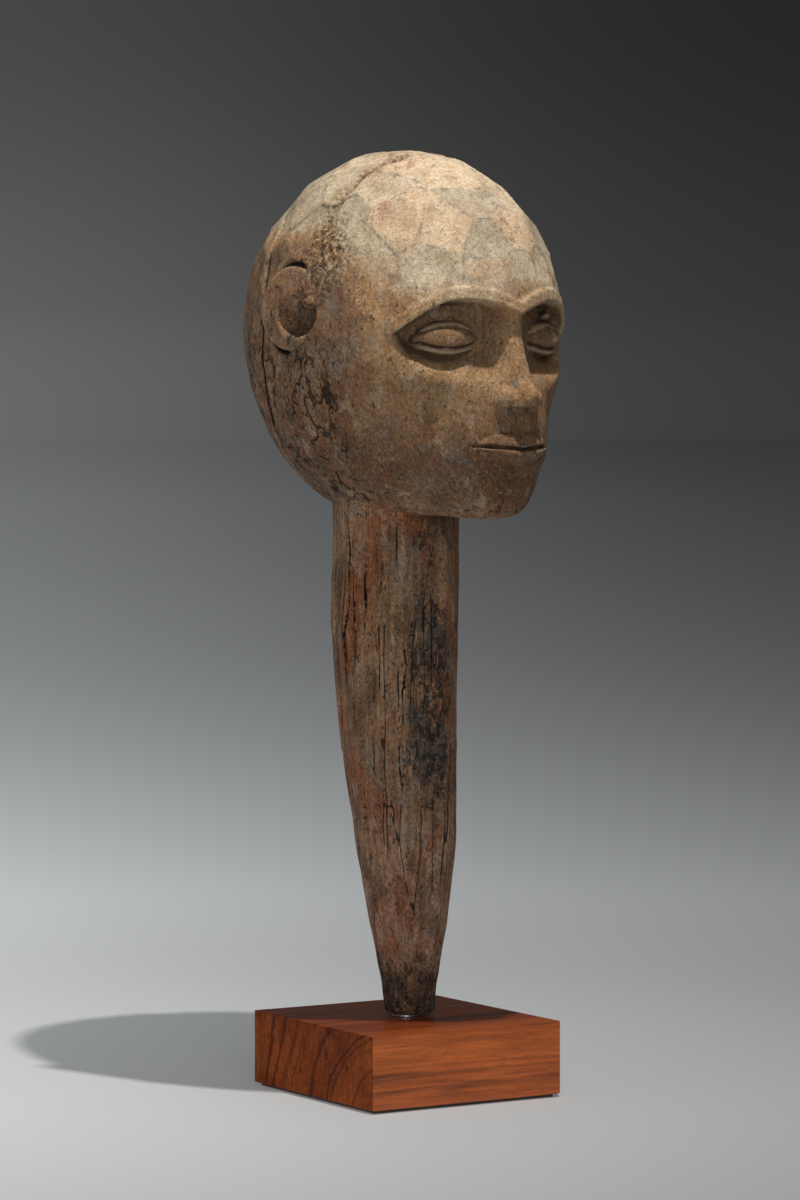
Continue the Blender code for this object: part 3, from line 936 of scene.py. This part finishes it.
def hardwood():
    """Oiled red-brown hardwood: long grain along X, curved growth rings on its ends."""
    n = Nodes("oiled_hardwood", 0.3)
    n.shader.inputs["Coat Roughness"].default_value = 0.12
    lengthways = n.wander(n.stretch((0.045, 1, 1), (0, 0, 0), (0, 0.055, 0)), 26, 0.016)
    from_heart = n.vector("LENGTH", n.stretch((1, 1, 1), (0, 0.070, 0.008), vector=lengthways))
    rings = n.noise(105, 4, from_heart, 0.6)
    tone = n.noise(22, 5, lengthways, 0.6)
    fibre = n.noise(420, 4, n.stretch((0.05, 1, 1)), 0.7)
    pores = n.noise(1500, 2, n.stretch((0.12, 1, 1), (4, 4, 4)), 0.6)
    dark_line = n.noise(60, 4, n.stretch((1, 1, 1), (4, 2, 2), vector=lengthways), 0.55)
    dark_line = n.range(dark_line, 0.60, 0.69)

    colour = n.mix(n.range(tone, 0.34, 0.66), srgb(150, 66, 27), srgb(202, 104, 44))
    colour = n.tint(colour, n.range(rings, 0.50, 0.66, 0.0, 0.45), srgb(112, 46, 24))
    colour = n.tint(colour, n.times(dark_line, 0.75), srgb(66, 28, 18))
    sap = n.noise(16, 4, n.stretch((0.5, 1, 1), (0, 4, 3), vector=lengthways), 0.55)
    sap = n.range(n.plus(sap, n.times(n.axis("X"), 0.8)), 0.52, 0.66)
    colour = n.tint(colour, n.times(sap, 0.5), srgb(206, 132, 74))
    colour = n.shade(colour, fibre, 0.32, 0.68, 0.74, 1.24)
    colour = n.tint(colour, n.range(pores, 0.60, 0.72, 0.0, 0.55), srgb(70, 30, 18))
    end = n.add("TexCoord").outputs["Normal"]
    end = n.range(n.math("ABSOLUTE", n.axis("X", end)), 0.6, 0.9)
    rays = n.noise(320, 3, n.stretch((1, 1, 0.25), (0, 0, 0), (0.5, 0, 0)), 0.6)
    end_colour = n.shade(colour, rays, 0.35, 0.65, 0.56, 0.74)
    end_colour = n.tint(end_colour, n.range(rings, 0.52, 0.62, 0.0, 0.5), srgb(54, 23, 15))
    colour = n.mix(end, colour, end_colour)
    n.link(n.range(end, 0.0, 1.0, 0.42, 0.08), n.shader.inputs["Specular IOR Level"])
    n.link(n.range(end, 0.0, 1.0, 0.14, 0.0), n.shader.inputs["Coat Weight"])
    normal = n.bump(fibre, 0.00012, 0.3)
    return n.finish(colour, n.plus(n.range(tone, 0.3, 0.7, 0.24, 0.34), n.times(end, 0.3)), normal)


def felt():
    """Soft dark felt."""
    n = Nodes("felt", 0.95)
    fibres = n.noise(2600, 4, roughness=0.8)
    n.shader.inputs["Sheen Weight"].default_value = 0.4
    colour = n.mix(n.range(fibres, 0.3, 0.7), srgb(56, 50, 47), srgb(82, 74, 68))
    return n.finish(colour, None, n.bump(fibres, 0.0004, 0.8))


def metal(name, dark, light, roughness):
    """Turned metal: fine rings round the pin's axis and a little tarnish."""
    n = Nodes(name, roughness)
    n.shader.inputs["Metallic"].default_value = 1.0
    rings = n.noise(2500, 2, n.stretch((0.02, 0.02, 1)))
    tarnish = n.noise(160, 5, roughness=0.7)
    colour = n.mix(n.range(tarnish, 0.35, 0.65), dark, light)
    worn = n.range(tarnish, 0.3, 0.7, roughness + 0.12, roughness - 0.06)
    return n.finish(colour, worn, n.bump(rings, 0.0001, 0.3))


# ==== pieces ===========================================================================================
def keep_node(node, finish):
    """Show a CAD node with a better material."""
    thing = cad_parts[node]
    for slot in thing.material_slots:
        slot.material = finish


def build_carving(finish):
    """The head, neck and stake, in the place of the CAD carving."""
    wood = mesh_object("carved_wood", *sculpt())
    wood.data.materials.append(finish)
    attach(wood, "figure")
    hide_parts("carving")


# ==== stage ===========================================================================================
VIEW_AZIMUTH = math.radians(-31.93)
VIEW_RIGHT = (math.cos(VIEW_AZIMUTH), math.sin(VIEW_AZIMUTH), 0.0)
VIEW_FORWARD = (-math.sin(VIEW_AZIMUTH), math.cos(VIEW_AZIMUTH), 0.0)
CAMERA_DISTANCE, CAMERA_HEIGHT = 2.4954, 0.3811
CAMERA_PITCH, CAMERA_YAW = math.radians(2.537), math.radians(0.076)
CAMERA_LENS, SENSOR_WIDTH = 136.74, 36.0    # in millimetres

FLOOR_RADIUS = 40.0
# The floor's greys run over nearness: 1 under the object, a half at FLOOR_NEAR metres, 0 far away.
# They are painted light and shade: the floor is brightest about a metre out, darker under the object and
# far away.
FLOOR_NEAR = 1.5
FLOOR_GREYS = (
    (0.0, 0.176), (0.036, 0.204), (0.094, 0.262), (0.198, 0.345), (0.317, 0.47),
    (0.455, 0.73), (0.61, 0.88), (0.757, 0.79), (1.0, 0.66),
)
# The room's greys run over the height of view: 0 at the horizon, 1 overhead.
ROOM_GREYS = ((0.0, 0.079), (0.02, 0.070), (0.085, 0.022), (0.4, 0.05), (1.0, 0.22))
FLOOR_TINT, ROOM_TINT = (0.955, 0.988, 1.005), (0.985, 0.995, 1.0)
PAINTED_FLOOR_GLOW = 0.22                   # painted light: the floor glows a little of its own, which also lights the object from below
# The floor is darker in front of the object and glows less under it, both painted shade: from where to
# where in metres, and what its colour is multiplied by at each end.
FRONT_SHADE, GLOW_SHADE = (-0.5, 0.0, 0.82, 1.0), (0.5, 1.1, 0.6, 1.0)
# Floor and room darken to the right: by how much, and how far out the change is spread. On the floor
# this is painted shade and spreads wider with distance; in the room it is the room's light and stays
# near the horizon.
FLOOR_FALL, FLOOR_SPREAD, FLOOR_WIDEN = 0.87, 0.65, 0.085
ROOM_FALL, ROOM_STEEPNESS, ROOM_BAND = 0.8, 10.5, (0.12, 0.3)


def direction(azimuth, elevation=0.0):
    """From the object towards a light or camera; azimuth 0 is in front, at -Y."""
    c = math.cos(elevation)
    return np.array([math.sin(azimuth) * c, -math.cos(azimuth) * c, math.sin(elevation)])


def camera():
    data = bpy.data.cameras.new("camera")
    data.lens = CAMERA_LENS
    data.sensor_width = SENSOR_WIDTH
    thing = bpy.data.objects.new("camera", data)
    bpy.context.scene.collection.objects.link(thing)
    thing.location = direction(VIEW_AZIMUTH) * CAMERA_DISTANCE + np.array([0, 0, CAMERA_HEIGHT])
    thing.rotation_euler = (math.pi / 2 - CAMERA_PITCH, 0, VIEW_AZIMUTH + CAMERA_YAW)
    bpy.context.scene.camera = thing


def area_light(name, azimuth, elevation, distance, size, power, colour, aim):
    """A round light at a distance from the place that it aims at."""
    data = bpy.data.lights.new(name, "AREA")
    data.shape = "DISK"
    data.size = size
    data.energy = power
    data.color = colour
    thing = bpy.data.objects.new(name, data)
    bpy.context.scene.collection.objects.link(thing)
    place = np.array(aim) + direction(math.radians(azimuth), math.radians(elevation)) * distance
    thing.location = place
    thing.rotation_euler = Vector(tuple(place - np.array(aim))).to_track_quat("Z", "Y").to_euler()


def floor():
    """A pale floor with painted light and shade: it darkens with distance, in front and away from the
    lit side, and glows a little of its own.
    """
    bpy.ops.mesh.primitive_circle_add(vertices=96, radius=FLOOR_RADIUS, fill_type="NGON")
    ground = bpy.context.object
    ground.name = "floor"
    n = Nodes("studio_floor", 1.0)
    n.shader.inputs["Specular IOR Level"].default_value = 0.0
    away = n.vector("LENGTH", n.place)
    rightward = n.vector("DOT_PRODUCT", n.place, VIEW_RIGHT)
    forward = n.vector("DOT_PRODUCT", n.place, VIEW_FORWARD)
    nearness = n.math("DIVIDE", FLOOR_NEAR, n.plus(away, FLOOR_NEAR))
    # Painted light and shade: the greys by nearness, darker to the right and in front.
    grey = n.greys(nearness, FLOOR_GREYS, FLOOR_TINT)
    side = n.math("DIVIDE", rightward, n.plus(n.times(away, FLOOR_WIDEN), FLOOR_SPREAD))
    colour = n.mix(1.0, grey, n.side_fall(side, FLOOR_FALL), "MULTIPLY")
    colour = n.shade(colour, forward, *FRONT_SHADE)
    # Painted light: the floor's own glow, weaker under the object.
    glow = n.shade(colour, away, *GLOW_SHADE)
    n.link(glow, n.shader.inputs["Emission Color"])
    n.shader.inputs["Emission Strength"].default_value = PAINTED_FLOOR_GLOW
    ground.data.materials.append(n.finish(colour))


def surroundings():
    """A grey room, darkest just above the horizon and brightest overhead."""
    world = bpy.data.worlds.new("studio")
    bpy.context.scene.world = world
    world.use_nodes = True
    n = Tree(world.node_tree, "Generated")
    grey = n.greys(n.axis("Z"), ROOM_GREYS, ROOM_TINT)
    side = n.times(n.vector("DOT_PRODUCT", n.place, VIEW_RIGHT), ROOM_STEEPNESS)
    low_down = n.range(n.axis("Z"), *ROOM_BAND, 1.0, 0.0)
    colour = n.mix(low_down, grey, n.mix(1.0, grey, n.side_fall(side, ROOM_FALL), "MULTIPLY"))
    n.link(colour, n.tree.nodes["Background"].inputs["Color"])


def stage():
    """The camera, the floor, the room, a small near key light and a wide low fill."""
    camera()
    floor()
    surroundings()
    area_light("key", azimuth=-7.6, elevation=67.8, distance=0.66, size=0.02, power=4.6,
               colour=(1.0, 0.965, 0.92), aim=(0, 0, HEAD_MIDDLE * MM))
    area_light("fill", azimuth=-28, elevation=9, distance=2.6, size=1.3, power=13,
               colour=(0.97, 0.98, 1.0), aim=(0, 0, 0.3))
    bpy.context.scene.view_settings.view_transform = "Standard"


# ==== build ============================================================================================
stage()
build_carving(old_wood())
keep_node("base_block", hardwood())
keep_node("felt_pad", felt())
steel = metal("turned_steel", srgb(150, 150, 152), srgb(205, 205, 206), 0.3)
for node in ("mount_rod", "clamp_washer", "spring_washer", "clamp_nut"):
    keep_node(node, steel)
keep_node("spacer_disc", metal("brushed_disc", srgb(196, 196, 198), srgb(226, 226, 228), 0.5))
keep_node("foot_sleeve", metal("drawn_brass", srgb(170, 138, 78), srgb(222, 190, 120), 0.32))
